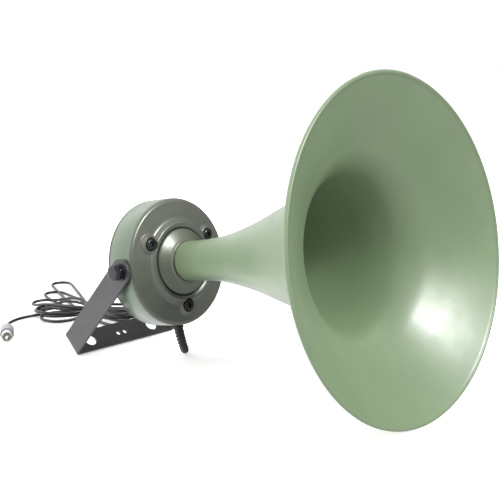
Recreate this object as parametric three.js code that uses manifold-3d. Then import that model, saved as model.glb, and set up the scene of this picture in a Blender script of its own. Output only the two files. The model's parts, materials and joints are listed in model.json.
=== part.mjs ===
// Horn loudspeaker: a spun trumpet on a round driver case, tilting in a flat-bar U-bracket.
// Millimetres, +Z up. The mouth faces -Y and is tipped up a little; the part rests on the lowest
// point of the mouth rim and on the front lower edge of the bracket's base. X = 0 is its mirror plane.

import * as THREE from 'three';
import { mergeVertices } from 'three/addons/utils/BufferGeometryUtils.js';
import Module from 'manifold-3d';

const wasm = await Module();
wasm.setup();

// ---- driving dimensions (mm) ----
const MOUTH_R = 140; // outer radius of the horn's mouth
const RIM_BEAD_R = 1.9; // rolled edge of the mouth
const BELL_WALL = 1.1;
const PIVOT_AXIAL = 272; // mouth plane to tilt axis, along the horn
const CASE_R = 60.8; // driver case
const CASE_FRONT = 261.3; // mouth plane to the case's front shoulder
const CASE_BACK = 291; // mouth plane to the case's open back
const CASE_WALL = 1.5;
const CASE_FILLET = 4.2;
const SCREW_CIRCLE_R = 42; // three face screws
const REAR_SCREW_CIRCLE_R = 54.9; // three rear cover screws
const ARM_OUTER_X = 65; // outer faces of the bracket's arms
const STRIP = 2.5; // bracket strip thickness
const STRIP_W = 24; // bracket strip width
const BEND_R = 5; // outer bend radius of the bracket
const ARM_LEN = 116.5; // tilt axis to the base's outer face
const ARM_LEAN = 46.9; // degrees the arms dip below level, towards the back
const BASE_HOLE_X = 40; // fixing holes in the base
const BASE_HOLE_R = 6.2;
const PILOT_HOLE_X = 4.2;
const PILOT_HOLE_R = 2.3;
const BOOT_HOLE_Y = 4.2; // cord's way into the case, behind the tilt axis
const CORD_D = 3.4;
const HANK_H = 14;
const WAIST_W = 14; // tied bundle of cord in the middle of the hank
const WAIST_TURN = 30; // degrees from X to the bundle's width
const TIE_W = 3.4;
const TIE_T = 0.8;

const DEG = Math.PI / 180;
const ROUND = 30; // segments round a medium piece

// Height of the tilt axis: the base's front lower edge stands on Z = 0.
const PIVOT_Z = ARM_LEN * Math.sin(ARM_LEAN * DEG) + (STRIP_W / 2) * Math.cos(ARM_LEAN * DEG);
// Rise of the horn's axis: the mouth rim's lowest point stands on Z = 0.
const RIM_CENTRE_R = MOUTH_R - RIM_BEAD_R;
const RIM_REACH = PIVOT_AXIAL - RIM_BEAD_R;
const HORN_RISE = Math.atan2(RIM_CENTRE_R, RIM_REACH)
  - Math.asin((PIVOT_Z - RIM_BEAD_R) / Math.hypot(RIM_REACH, RIM_CENTRE_R));
// The row origin is under the middle of the length from the mouth's rim to the bracket's base.
const FRONT_REACH = RIM_REACH * Math.cos(HORN_RISE) + RIM_CENTRE_R * Math.sin(HORN_RISE) + RIM_BEAD_R;
const BACK_REACH = ARM_LEN * Math.cos(ARM_LEAN * DEG) + (STRIP_W / 2) * Math.sin(ARM_LEAN * DEG);
const PIVOT_Y = (FRONT_REACH - BACK_REACH) / 2;

// ---- materials ----
function material(color, roughness, metalness) {
  return new THREE.MeshStandardMaterial({ color, roughness, metalness });
}

const GREEN = 0x7d9372;
const OLIVE = 0x5f6659;
const DARK_STEEL = 0x55565a;
const BLACK = 0x1d1d1f;

// ---- solids: geometry to manifold-3d and back ----
function toSolid(geometry) {
  const bare = geometry.clone();
  bare.deleteAttribute('normal');
  bare.deleteAttribute('uv');
  const merged = mergeVertices(bare, 1e-4);
  const mesh = new wasm.Mesh({
    numProp: 3,
    vertProperties: new Float32Array(merged.attributes.position.array),
    triVerts: new Uint32Array(merged.index.array),
  });
  return new wasm.Manifold(mesh);
}

function toGeometry(solid) {
  const mesh = solid.getMesh();
  const geometry = new THREE.BufferGeometry();
  geometry.setAttribute('position', new THREE.BufferAttribute(mesh.vertProperties, 3));
  geometry.setIndex(new THREE.BufferAttribute(mesh.triVerts, 1));
  return geometry;
}

function joined(...geometries) {
  return toGeometry(geometries.map(toSolid).reduce((sum, one) => sum.add(one)));
}

function cut(geometry, ...tools) {
  return toGeometry(tools.map(toSolid).reduce((rest, one) => rest.subtract(one), toSolid(geometry)));
}

function common(a, b) {
  return toGeometry(toSolid(a).intersect(toSolid(b)));
}

// Faces out: a closed mesh with a negative volume has its triangles turned over.
function facingOut(geometry) {
  const bare = geometry.clone();
  bare.deleteAttribute('normal');
  bare.deleteAttribute('uv');
  const merged = mergeVertices(bare, 1e-4);
  const p = merged.attributes.position;
  const index = merged.index.array;
  const a = new THREE.Vector3();
  const b = new THREE.Vector3();
  const c = new THREE.Vector3();
  let volume = 0;
  for (let i = 0; i < index.length; i += 3) {
    a.fromBufferAttribute(p, index[i]);
    b.fromBufferAttribute(p, index[i + 1]);
    c.fromBufferAttribute(p, index[i + 2]);
    volume += a.dot(b.cross(c));
  }
  if (volume < 0) {
    for (let i = 0; i < index.length; i += 3) {
      [index[i + 1], index[i + 2]] = [index[i + 2], index[i + 1]];
    }
  }
  return merged;
}

// ---- shape helpers ----
// A body of revolution on the horn's axis. Points are [radius, distance behind the mouth plane].
function turned(points, segments = ROUND) {
  const profile = points.map(([r, a]) => new THREE.Vector2(r, a - PIVOT_AXIAL));
  return facingOut(new THREE.LatheGeometry(profile, segments));
}

// A flat ring on the horn's axis.
function washer(rIn, rOut, front, back, segments = ROUND) {
  return turned([[rIn, front], [rOut, front], [rOut, back], [rIn, back], [rIn, front]], segments);
}

// A cylinder along X, from x0 to x1, about the tilt axis.
function barX(r, x0, x1, sides = 24) {
  const bar = new THREE.CylinderGeometry(r, r, Math.abs(x1 - x0), sides);
  bar.rotateZ(Math.PI / 2);
  bar.translate((x0 + x1) / 2, 0, 0);
  return facingOut(bar);
}

// A cylinder along the horn's axis, standing off it at a radius and an angle.
function barAxial(r, radius, angle, front, back, sides = 20) {
  const bar = new THREE.CylinderGeometry(r, r, back - front, sides);
  bar.translate(radius * Math.cos(angle), (front + back) / 2 - PIVOT_AXIAL, radius * Math.sin(angle));
  return facingOut(bar);
}

function arcPoints(cx, cy, r, from, to, steps) {
  const points = [];
  for (let i = 0; i <= steps; i += 1) {
    const angle = (from + ((to - from) * i) / steps) * DEG;
    points.push([cx + r * Math.cos(angle), cy + r * Math.sin(angle)]);
  }
  return points;
}

const screwAngles = [30, 150, 270].map((angle) => angle * DEG);
const rearScrewAngles = [90, 210, 330].map((angle) => angle * DEG);

// ---- the horn ----
// Outer radius of the bell at stations behind the mouth plane.
const BELL_STATIONS = [
  [1.9, 137.0], [10, 122.7], [20, 106.2], [30, 91.2], [40, 77.5], [52, 67.0], [70, 58.3],
  [95, 49.8], [120, 41.8], [150, 32.0], [180, 24.5], [205, 20.3], [225, 19.0], [247.4, 18.8],
];
const NECK_R = 18.8;
const NECK_END = 247.4;
const BELL_STEPS = 14;

function hornBell() {
  const curve = new THREE.SplineCurve(BELL_STATIONS.map(([a, r]) => new THREE.Vector2(a, r)));
  const stations = curve.getPoints(BELL_STEPS);
  const outer = stations.map((p) => [p.y, p.x]);
  const inner = stations.map((p, i) => {
    const tangent = curve.getTangent(i / BELL_STEPS);
    return [p.y - BELL_WALL * Math.abs(tangent.x), p.x - BELL_WALL * Math.abs(tangent.y)];
  });
  inner[0] = [137.0 - 1.6, RIM_BEAD_R - 1.7];
  inner[BELL_STEPS] = [NECK_R - BELL_WALL, NECK_END];
  const bead = arcPoints(RIM_CENTRE_R, RIM_BEAD_R, RIM_BEAD_R, -120, 100, 6);
  return turned([...inner.slice().reverse(), ...bead, ...outer.slice(1), inner[BELL_STEPS]], 44);
}

// Dished flange that carries the horn's neck in the middle of the case's front.
function throatFlange() {
  return turned([
    [14.2, 240], [17.0, 240], [17.0, 247.8], [19.4, 247.8], [20.9, 248.4], [21.6, 249.8],
    [30.6, 254.6], [31.5, 256.0], [31.5, 258.6], [14.2, 258.6], [14.2, 240],
  ]);
}

// Drawn can: front face with its raised ring and ears, and the side wall. It is open behind.
function driverCase() {
  const t = CASE_WALL;
  const fillet = arcPoints(CASE_R - CASE_FILLET, CASE_FRONT + CASE_FILLET, CASE_FILLET, 0, -90, 4);
  const innerR = CASE_FILLET - t;
  const innerFillet = arcPoints(CASE_R - CASE_FILLET, CASE_FRONT + CASE_FILLET, innerR, -90, 0, 2);
  const can = turned([
    [CASE_R, CASE_BACK], ...fillet,
    [41.5, 259.3], [39.6, 258.2], [38.0, 255.5], [36.4, 254.6], [34.6, 254.9], [33.2, 256.2], [31.9, 257.4],
    [31.9, 260.0], [34.6, 259.0], [36.6, 257.0], [38.6, 260.2], [41.5, 260.9],
    ...innerFillet, [CASE_R - t, CASE_BACK], [CASE_R, CASE_BACK],
  ], 40);
  const ears = screwAngles.map((angle) => barAxial(8.2, SCREW_CIRCLE_R, angle, 256.0, 260.6, 16));
  const pockets = screwAngles.map((angle) => barAxial(6.1, SCREW_CIRCLE_R, angle, 245, 257.9, 14));
  const lugs = rearScrewAngles.map((angle) => barAxial(4.6, REAR_SCREW_CIRCLE_R, angle, 282, 290.6, 10));
  const pads = [-1, 1].map((side) => barX(9, side * 57.5, side * 61.2, 24));
  const pivotHoles = [-1, 1].map((side) => barX(8.3, side * 50, side * 60.2, 20));
  const boltHoles = [-1, 1].map((side) => barX(4.4, side * 50, side * 70, 16));
  const screwHoles = screwAngles.map((angle) => barAxial(3.3, SCREW_CIRCLE_R, angle, 250, 270, 12));
  const lugHoles = rearScrewAngles.map((angle) => barAxial(1.8, REAR_SCREW_CIRCLE_R, angle, 284, 300, 8));
  const bootHole = new THREE.CylinderGeometry(4.7, 4.7, 20, 16);
  bootHole.rotateX(Math.PI / 2);
  bootHole.translate(0, BOOT_HOLE_Y, -CASE_R);
  return cut(
    joined(can, ...ears, ...lugs, ...pads),
    ...pivotHoles, ...boltHoles, ...pockets, ...screwHoles, ...lugHoles, facingOut(bootHole),
  );
}

// Pan-head screw, its head at the front: seat is where the head's underside rests.
function panScrew(angle, circle, seat, headR, headH, shankR, length, towardsFront) {
  const s = towardsFront ? 1 : -1;
  const profile = [
    [0, seat - s * headH], [headR * 0.55, seat - s * headH], [headR * 0.9, seat - s * headH * 0.72],
    [headR, seat - s * headH * 0.3], [headR, seat], [shankR, seat], [shankR, seat + s * length],
    [0, seat + s * length],
  ];
  const body = turned(profile, 10);
  const socketR = headR * 0.42;
  const socketEnd = seat - s * headH * 0.4;
  const open = seat - s * headH * 1.5;
  const socket = new THREE.CylinderGeometry(socketR, socketR, Math.abs(open - socketEnd), 6);
  socket.translate(0, (open + socketEnd) / 2 - PIVOT_AXIAL, 0);
  const screw = cut(body, facingOut(socket));
  screw.translate(circle * Math.cos(angle), 0, circle * Math.sin(angle));
  return screw;
}

function rearCover() {
  const dish = turned([
    [0, 297.6], [20, 297.2], [40, 295.8], [50, 294.6], [57.6, 293.9], [59.8, 293.2], [60.8, 292.2],
    [60.8, 291.3], [49, 291.3], [40, 293.6], [20, 295.4], [0, 295.8],
  ], 32);
  const holes = rearScrewAngles.map((angle) => barAxial(2.1, REAR_SCREW_CIRCLE_R, angle, 285, 300, 8));
  return cut(dish, ...holes);
}

// ---- inside the driver ----
function throatPlate() {
  const plate = washer(11, 50, 263.4, 267.6);
  return cut(plate, ...screwAngles.map((angle) => barAxial(3.3, SCREW_CIRCLE_R, angle, 250, 270, 12)));
}

function phasePlug() {
  const bullet = turned([
    [0, 256], [2.6, 258], [4.8, 261], [6.4, 264.5], [7.4, 267.4], [0, 267.4],
  ], 16);
  const fins = [0, 1, 2].map((i) => {
    const fin = new THREE.BoxGeometry(10.4, 3.2, 1.2);
    fin.translate(5.5, 265.6 - PIVOT_AXIAL, 0);
    fin.rotateY((i * 2 * Math.PI) / 3);
    return facingOut(fin);
  });
  return joined(bullet, ...fins);
}

function diaphragm() {
  return turned([
    [0, 269.3], [8, 269.9], [14, 271.2], [19.6, 273.2], [19.6, 273.8], [18.8, 273.8], [13.6, 271.9],
    [7.8, 270.6], [0, 270.0],
  ], 24);
}

function surround() {
  return turned([
    [20.8, 272.6], [22.2, 271.4], [24.2, 271.4], [25.6, 272.4], [33, 272.4], [33, 273.0],
    [25.4, 273.0], [24.0, 272.0], [22.4, 272.0], [21.2, 273.0], [20.8, 272.6],
  ], 24);
}

function voiceCoil() {
  return washer(18.5, 19.3, 274.1, 282, 24);
}

function backPlateWithPole() {
  return turned([
    [3, 276.4], [17.5, 276.4], [17.5, 286.6], [46, 286.6], [46, 290.2], [3, 290.2], [3, 276.4],
  ]);
}

function box(x0, x1, y0, y1, z0, z1) {
  const block = new THREE.BoxGeometry(x1 - x0, y1 - y0, z1 - z0);
  block.translate((x0 + x1) / 2, (y0 + y1) / 2, (z0 + z1) / 2);
  return facingOut(block);
}

// Small board with two solder tags, above the cord's way in.
function terminalBoard() {
  const board = box(-11, 11, 13.4, 15.0, -56, -48.5);
  const tags = [-7, 7].map((x) => box(x - 1.6, x + 1.6, 14.6, 17.4, -54.4, -50.4));
  return joined(board, ...tags);
}

function leadWire(side) {
  const path = new THREE.CatmullRomCurve3([
    new THREE.Vector3(side * 7, 12.8, -52.4),
    new THREE.Vector3(side * 7.4, 9, -51.6),
    new THREE.Vector3(side * 7.2, 4, -51),
    new THREE.Vector3(side * 5, -0.6, -50),
    new THREE.Vector3(side * 3.4, -1.6, -44),
    new THREE.Vector3(side * 3.0, -1.6, -35),
  ]);
  return tube(path, 0.6, 6, 14);
}

// ---- the pivots ----
function pivotInsert(side) {
  const shell = barX(8, side * 52, side * 59.9, 20);
  return cut(shell, barX(4.4, side * 40, side * 70, 16));
}

function pivotBolt(side) {
  const head = barX(7.5, side * 69.2, side * 74.5, 6);
  const shank = barX(4.0, side * 52.6, side * 69.4, 16);
  const chamfer = new THREE.SphereGeometry(9.6, 18, 12);
  chamfer.translate(side * 67.2, 0, 0);
  return joined(common(head, facingOut(chamfer)), shank);
}

function ringX(rIn, rOut, x0, x1, side) {
  return cut(barX(rOut, side * x0, side * x1, 24), barX(rIn, side * (x0 - 5), side * (x1 + 5), 16));
}

function springWasher(side) {
  const slot = new THREE.BoxGeometry(10, 1.1, 12);
  slot.translate(side * 68, 0, 10);
  return cut(ringX(4.4, 6.9, 67.2, 68.9, side), facingOut(slot));
}

// ---- the bracket, in its own frame: arms along -Z, strip width along Y ----
function uBracket() {
  const x = ARM_OUTER_X;
  const bottom = -ARM_LEN;
  const top = STRIP_W / 2;
  const strip = new THREE.Shape();
  strip.moveTo(-x, top);
  strip.lineTo(-x, bottom + BEND_R);
  strip.absarc(-x + BEND_R, bottom + BEND_R, BEND_R, Math.PI, 1.5 * Math.PI, false);
  strip.lineTo(x - BEND_R, bottom);
  strip.absarc(x - BEND_R, bottom + BEND_R, BEND_R, 1.5 * Math.PI, 2 * Math.PI, false);
  strip.lineTo(x, top);
  strip.lineTo(x - STRIP, top);
  strip.lineTo(x - STRIP, bottom + BEND_R);
  strip.absarc(x - BEND_R, bottom + BEND_R, BEND_R - STRIP, 2 * Math.PI, 1.5 * Math.PI, true);
  strip.lineTo(-x + BEND_R, bottom + STRIP);
  strip.absarc(-x + BEND_R, bottom + BEND_R, BEND_R - STRIP, 1.5 * Math.PI, Math.PI, true);
  strip.lineTo(-x + STRIP, top);
  strip.closePath();
  const bent = new THREE.ExtrudeGeometry(strip, { depth: STRIP_W, bevelEnabled: false, curveSegments: 6 });
  bent.rotateX(Math.PI / 2);
  bent.translate(0, STRIP_W / 2, 0);

  const side = new THREE.Shape();
  side.moveTo(-top, bottom - 5);
  side.lineTo(top, bottom - 5);
  side.lineTo(top, 0);
  side.absarc(0, 0, top, 0, Math.PI, false);
  side.closePath();
  const outline = new THREE.ExtrudeGeometry(side, {
    depth: 2 * x + 20, bevelEnabled: false, curveSegments: 20,
  });
  outline.rotateX(Math.PI / 2);
  outline.rotateZ(Math.PI / 2);
  outline.translate(-x - 10, 0, 0);

  const pivotHole = barX(4.3, -x - 5, x + 5, 16);
  const holes = [
    [-BASE_HOLE_X, BASE_HOLE_R], [BASE_HOLE_X, BASE_HOLE_R],
    [-PILOT_HOLE_X, PILOT_HOLE_R], [PILOT_HOLE_X, PILOT_HOLE_R],
  ].map(([holeX, r]) => {
    const drill = new THREE.CylinderGeometry(r, r, 12, 20);
    drill.rotateX(Math.PI / 2);
    drill.translate(holeX, 0, bottom);
    return facingOut(drill);
  });
  return cut(common(facingOut(bent), facingOut(outline)), pivotHole, ...holes);
}

// ---- the cord and its boot, in the row frame ----
function polygon(r, sides) {
  const shape = new THREE.Shape();
  for (let i = 0; i < sides; i += 1) {
    const angle = ((i + 0.5) * 2 * Math.PI) / sides;
    shape[i === 0 ? 'moveTo' : 'lineTo'](r * Math.cos(angle), r * Math.sin(angle));
  }
  shape.closePath();
  return shape;
}

function tube(path, r, sides, steps) {
  return facingOut(new THREE.ExtrudeGeometry(polygon(r, sides), { extrudePath: path, steps }));
}

function route(points) {
  const nodes = points.map(([x, y, z]) => new THREE.Vector3(x, y, z));
  return new THREE.CatmullRomCurve3(nodes, false, 'centripetal');
}

// Centre line of the boot: out of the bottom of the case, then round to run along the table.
const BOOT_PATH = [
  [0, PIVOT_Y - 5.4, 38.7], [0, PIVOT_Y - 6.3, 32.7], [0.3, PIVOT_Y - 8.2, 25],
  [1.4, PIVOT_Y - 9.9, 16.8], [4.0, PIVOT_Y - 9.8, 10], [8, PIVOT_Y - 6.9, 5.8],
  [12.8, PIVOT_Y - 2.4, 3.95],
];
const BOOT_RADII = [3.6, 4.3, 4.3, 4.0, 3.7, 3.4, 3.1];

// Tapered rubber sleeve, bent along its centre line, with the cord's hole through it.
function cableBoot() {
  const path = route(BOOT_PATH);
  const sides = 10;
  const steps = 12;
  const skin = new THREE.ExtrudeGeometry(polygon(1, sides), { extrudePath: path, steps });
  const p = skin.attributes.position;
  const centres = [];
  const radii = [];
  for (let i = 0; i <= steps; i += 1) {
    const t = i / steps;
    centres.push(path.getPointAt(t));
    const along = t * (BOOT_RADII.length - 1);
    const k = Math.min(Math.floor(along), BOOT_RADII.length - 2);
    radii.push(BOOT_RADII[k] + (BOOT_RADII[k + 1] - BOOT_RADII[k]) * (along - k));
  }
  const v = new THREE.Vector3();
  for (let i = 0; i < p.count; i += 1) {
    v.fromBufferAttribute(p, i);
    let nearest = 0;
    centres.forEach((centre, j) => {
      if (centre.distanceTo(v) < centres[nearest].distanceTo(v)) nearest = j;
    });
    const offset = v.clone().sub(centres[nearest]).multiplyScalar(radii[nearest]);
    v.copy(centres[nearest]).add(offset);
    p.setXYZ(i, v.x, v.y, v.z);
  }
  return facingOut(skin);
}

// From the boot along the table, under the case and round the bracket's right end.
const LEAD_ROUTE = [
  [13.1, PIVOT_Y - 2.1, 3.9], [16.6, PIVOT_Y + 1.5, 3.3], [21.2, PIVOT_Y + 6.6, 2.4],
  [27.6, PIVOT_Y + 13.6, 1.8], [36, PIVOT_Y + 23, 1.8], [45, PIVOT_Y + 33.6, 1.8], [54.5, PIVOT_Y + 45, 1.8],
  [64, PIVOT_Y + 56.6, 1.8], [73.5, PIVOT_Y + 68.4, 1.8],
];
const RUN_ROUTE = [
  [73.8, PIVOT_Y + 68.8, 1.8], [80.2, PIVOT_Y + 77.4, 1.8], [87, PIVOT_Y + 88, 1.8],
  [92, PIVOT_Y + 100, 1.8], [93.5, PIVOT_Y + 112, 1.8], [91, PIVOT_Y + 124, 1.8],
  [85, PIVOT_Y + 135, 1.8], [80.5, PIVOT_Y + 140.6, 1.8],
];
const TAIL_ROUTE = [
  [-6, PIVOT_Y + 229.7, 1.9], [-12.8, PIVOT_Y + 230.3, 1.8], [-20.5, PIVOT_Y + 228.3, 2.2],
  [-29.5, PIVOT_Y + 224, 2.9], [-37, PIVOT_Y + 218.3, 3.9], [-44.5, PIVOT_Y + 211.4, 5.2],
  [-51.5, PIVOT_Y + 204.2, 6.4], [-57.8, PIVOT_Y + 196.9, 7.3],
];

// Outline of the hank from above: a waist where it is tied, a short lobe and a fanned lobe.
const WAIST = new THREE.Vector3(41, PIVOT_Y + 180, 0);
const HANK_OUTLINE = [
  [34, 176], [20, 178.5], [4, 182], [-7, 187.5], [-12.5, 196], [-12.5, 207], [-7, 219], [6, 242], [22, 267],
  [58, 303], [106, 347], [117, 353], [126, 350], [128.5, 339], [126, 321], [118, 299], [105, 273], [78, 232],
  [60, 203], [48.5, 184], [55, 174], [67, 163], [74, 154.5], [77.5, 146], [75, 138], [65, 126], [57, 120],
  [47, 118.5], [37, 121], [29, 127.5], [26.5, 137], [28, 149], [32, 165],
];

// A block across the bundle's waist, centred on it at a height.
function waistBlock(width, length, height, middle, across = 0) {
  const block = new THREE.BoxGeometry(width, length, height);
  block.translate(across, 0, 0);
  block.rotateZ(WAIST_TURN * DEG);
  block.translate(WAIST.x, WAIST.y, middle);
  return facingOut(block);
}

function cordHank() {
  const points = HANK_OUTLINE.map(([x, y]) => new THREE.Vector2(x, y + PIVOT_Y));
  points.push(points[0].clone());
  const shape = new THREE.Shape(new THREE.SplineCurve(points).getPoints(50));
  const lobes = facingOut(new THREE.ExtrudeGeometry(shape, { depth: HANK_H, bevelEnabled: false }));
  const slot = waistBlock(50, TIE_W + 2.2, 3 * HANK_H, 0);
  const bundle = waistBlock(WAIST_W, 2 * TIE_W, HANK_H - 3 * TIE_T, HANK_H / 2);
  return joined(cut(lobes, slot), bundle);
}

// Flat tie closed round the hank's waist, its head on top.
function cableTie() {
  const innerW = WAIST_W + 0.7;
  const innerH = HANK_H - 0.2 - 2 * TIE_T;
  const middle = HANK_H / 2 + 0.1;
  const outer = waistBlock(innerW + 3 * TIE_T, TIE_W, HANK_H - 0.2, middle);
  const band = cut(outer, waistBlock(innerW, 2.5 * TIE_W, innerH, middle));
  return joined(band, waistBlock(5, 4.4, 3, HANK_H + 1.2, 3));
}

// ---- the plug: points are [radius, distance from the back end] along its own axis ----
const PLUG_BACK = [-58, PIVOT_Y + 196.6, 7.3];
const PLUG_HEADING = new THREE.Vector3(-0.565, -0.825, 0);

function plugPiece(points, segments = 20) {
  const profile = points.map(([r, d]) => new THREE.Vector2(r, d));
  const piece = facingOut(new THREE.LatheGeometry(profile, segments));
  const turn = new THREE.Quaternion();
  turn.setFromUnitVectors(new THREE.Vector3(0, 1, 0), PLUG_HEADING.clone().normalize());
  piece.applyQuaternion(turn);
  piece.translate(...PLUG_BACK);
  return piece;
}

function plugBody() {
  return plugPiece([
    [0, 0.4], [2.4, 0.4], [3.1, 5.5], [4.2, 10.5], [6.1, 15], [7.1, 19], [7.1, 36], [6.6, 37],
    [5.9, 37], [5.9, 34], [0, 34],
  ]);
}

function plugSleeve() {
  return plugPiece([
    [4.6, 34.4], [5.5, 34.4], [5.5, 46.5], [5.2, 47.1], [4.6, 47.1], [4.6, 34.4],
  ]);
}

function plugInsulator() {
  return plugPiece([[1.9, 34.4], [4.2, 34.4], [4.2, 39.6], [1.9, 39.6], [1.9, 34.4]], 20);
}

function plugPin() {
  return plugPiece([[0, 34.4], [1.6, 34.4], [1.6, 50.5], [1.2, 52.1], [0, 52.9]], 16);
}

// ---- the assembly ----
const part = new THREE.Group();
const horn = new THREE.Group(); // local Y runs back along the horn's axis, origin on the tilt axis
const bracket = new THREE.Group();
horn.position.set(0, PIVOT_Y, PIVOT_Z);
horn.rotation.x = -HORN_RISE;
bracket.position.set(0, PIVOT_Y, PIVOT_Z);
bracket.rotation.x = Math.PI / 2 - ARM_LEAN * DEG;
part.add(horn, bracket);

function place(group, name, geometry, color, roughness, metalness) {
  const mesh = new THREE.Mesh(geometry, material(color, roughness, metalness));
  mesh.name = name;
  group.add(mesh);
}

place(horn, 'horn_bell', hornBell(), GREEN, 0.4, 0.1);
place(horn, 'throat_flange', throatFlange(), OLIVE, 0.4, 0.3);
place(horn, 'driver_case', driverCase(), GREEN, 0.4, 0.2);
place(horn, 'rear_cover', rearCover(), GREEN, 0.4, 0.2);
place(horn, 'rear_gasket', washer(44, 49.6, 290.4, 291.0), BLACK, 0.9, 0);
screwAngles.forEach((angle, i) => {
  const screw = panScrew(angle, SCREW_CIRCLE_R, 257.6, 5.6, 3.0, 2.9, 9.4, true);
  place(horn, `front_screw_${i + 1}`, screw, BLACK, 0.35, 0.8);
});
rearScrewAngles.forEach((angle, i) => {
  const screw = panScrew(angle, REAR_SCREW_CIRCLE_R, 294.9, 3.6, 2.2, 1.5, 9, false);
  place(horn, `rear_screw_${i + 1}`, screw, BLACK, 0.35, 0.8);
});
place(horn, 'throat_gasket', washer(14.6, 34, 261.3, 263.1), BLACK, 0.9, 0);
place(horn, 'throat_plate', throatPlate(), 0x9a9a9c, 0.4, 0.9);
place(horn, 'phase_plug', phasePlug(), 0x2b2b2d, 0.5, 0);
place(horn, 'diaphragm', diaphragm(), 0xb08b4f, 0.6, 0);
place(horn, 'voice_coil', voiceCoil(), 0xb87333, 0.35, 0.9);
place(horn, 'surround', surround(), 0x7a5a35, 0.8, 0);
place(horn, 'clamp_ring', washer(26.2, 33, 268.0, 272.0), 0x9a9a9c, 0.4, 0.9);
place(horn, 'front_pole_plate', washer(20.4, 46, 273.4, 278), 0xa7a7a5, 0.4, 0.9);
place(horn, 'ring_magnet', washer(24, 47.5, 278.3, 286.3), 0x2e2e30, 0.8, 0.2);
place(horn, 'back_plate', backPlateWithPole(), 0xa7a7a5, 0.4, 0.9);
place(horn, 'terminal_board', terminalBoard(), 0x9c7a45, 0.7, 0);
[-1, 1].forEach((side, i) => {
  place(horn, `lead_wire_${i + 1}`, leadWire(side), side < 0 ? 0xa02020 : BLACK, 0.6, 0);
});
[-1, 1].forEach((side) => {
  const hand = side < 0 ? 'left' : 'right';
  place(horn, `pivot_insert_${hand}`, pivotInsert(side), 0xb59a4a, 0.35, 1);
  place(horn, `pivot_bolt_${hand}`, pivotBolt(side), BLACK, 0.35, 0.8);
  place(horn, `spring_washer_${hand}`, springWasher(side), BLACK, 0.35, 0.8);
  place(horn, `flat_washer_${hand}`, ringX(4.4, 8.0, 65.3, 66.9, side), BLACK, 0.35, 0.8);
  place(bracket, `friction_washer_${hand}`, ringX(4.6, 9.5, 61.5, 62.2, side), BLACK, 0.9, 0);
});
place(bracket, 'u_bracket', uBracket(), DARK_STEEL, 0.5, 0.4);

place(part, 'cable_boot', cableBoot(), BLACK, 0.8, 0);
place(part, 'cord_lead', tube(route(LEAD_ROUTE), CORD_D / 2, 8, 12), BLACK, 0.6, 0);
place(part, 'cord_run', tube(route(RUN_ROUTE), CORD_D / 2, 8, 14), BLACK, 0.6, 0);
place(part, 'cord_hank', cordHank(), BLACK, 0.6, 0);
place(part, 'cord_tail', tube(route(TAIL_ROUTE), CORD_D / 2, 8, 10), BLACK, 0.6, 0);
place(part, 'cable_tie', cableTie(), BLACK, 0.6, 0);
place(part, 'plug_body', plugBody(), 0x77777c, 0.5, 0);
place(part, 'plug_sleeve', plugSleeve(), 0xd8d8da, 0.2, 1);
place(part, 'plug_insulator', plugInsulator(), 0xe8e4da, 0.6, 0);
place(part, 'plug_pin', plugPin(), 0xd8d8da, 0.2, 1);

export default part;
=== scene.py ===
"""Looks of the horn loudspeaker: a green spun horn on a driver can, in a black flat-bar bracket.

Outlines are in millimetres. Profiles of turned pieces are (radius, distance behind the mouth plane).
"""

import json
import math

import bmesh
import bpy
from mathutils import Euler, Matrix, Vector


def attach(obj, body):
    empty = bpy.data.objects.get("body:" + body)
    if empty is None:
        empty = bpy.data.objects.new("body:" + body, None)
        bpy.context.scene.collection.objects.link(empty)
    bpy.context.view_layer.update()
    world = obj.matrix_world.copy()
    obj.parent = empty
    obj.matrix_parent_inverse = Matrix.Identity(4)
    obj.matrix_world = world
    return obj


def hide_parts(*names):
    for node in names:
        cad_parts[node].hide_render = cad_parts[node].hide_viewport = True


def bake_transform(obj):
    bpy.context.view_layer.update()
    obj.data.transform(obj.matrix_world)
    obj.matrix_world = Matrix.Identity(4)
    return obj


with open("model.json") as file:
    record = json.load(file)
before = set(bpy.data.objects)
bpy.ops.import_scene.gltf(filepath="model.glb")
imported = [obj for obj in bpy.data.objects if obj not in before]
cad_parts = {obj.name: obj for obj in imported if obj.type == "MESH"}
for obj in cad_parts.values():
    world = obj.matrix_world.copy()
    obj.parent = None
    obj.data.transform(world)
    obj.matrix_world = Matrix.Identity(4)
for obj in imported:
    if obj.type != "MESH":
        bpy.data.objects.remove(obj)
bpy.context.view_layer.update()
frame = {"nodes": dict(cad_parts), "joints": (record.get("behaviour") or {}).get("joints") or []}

MM = 0.001

# ---- places, from the frame's joints ----
JOINTS = {joint["name"]: joint for joint in frame["joints"]}
PIVOT = Vector(JOINTS["tilt"]["pos_m"])
HORN_AXIS = Vector(JOINTS["diaphragm_travel"]["axis"])
FOOT = Vector((0, PIVOT.y, 0))

# ---- driving dimensions (mm), as in the part ----
MOUTH_R = 140
RIM_BEAD_R = 1.9
BELL_WALL = 1.1
PIVOT_AXIAL = 272
CASE_R = 60.8
CASE_FRONT = 261.3
CASE_BACK = 291
CASE_WALL = 1.5
CASE_FILLET = 4.2
SCREW_CIRCLE_R = 42
REAR_SCREW_CIRCLE_R = 54.9
ARM_OUTER_X = 65
STRIP = 2.5
STRIP_W = 24
BEND_R = 5
ARM_LEN = 116.5
ARM_LEAN = 46.9
BASE_HOLES = [(-40, 6.2), (40, 6.2), (-4.2, 2.3), (4.2, 2.3)]  # across, radius
PIVOT_HOLE_R = 4.3
SCREW_ANGLES = [30, 150, 270]
REAR_SCREW_ANGLES = [90, 210, 330]
FRONT_PAINTED_SHADE = (0.0068, 0.0102)  # m ahead of the pivot: where the painted shade on the case's front face starts, and where it is full
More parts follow.
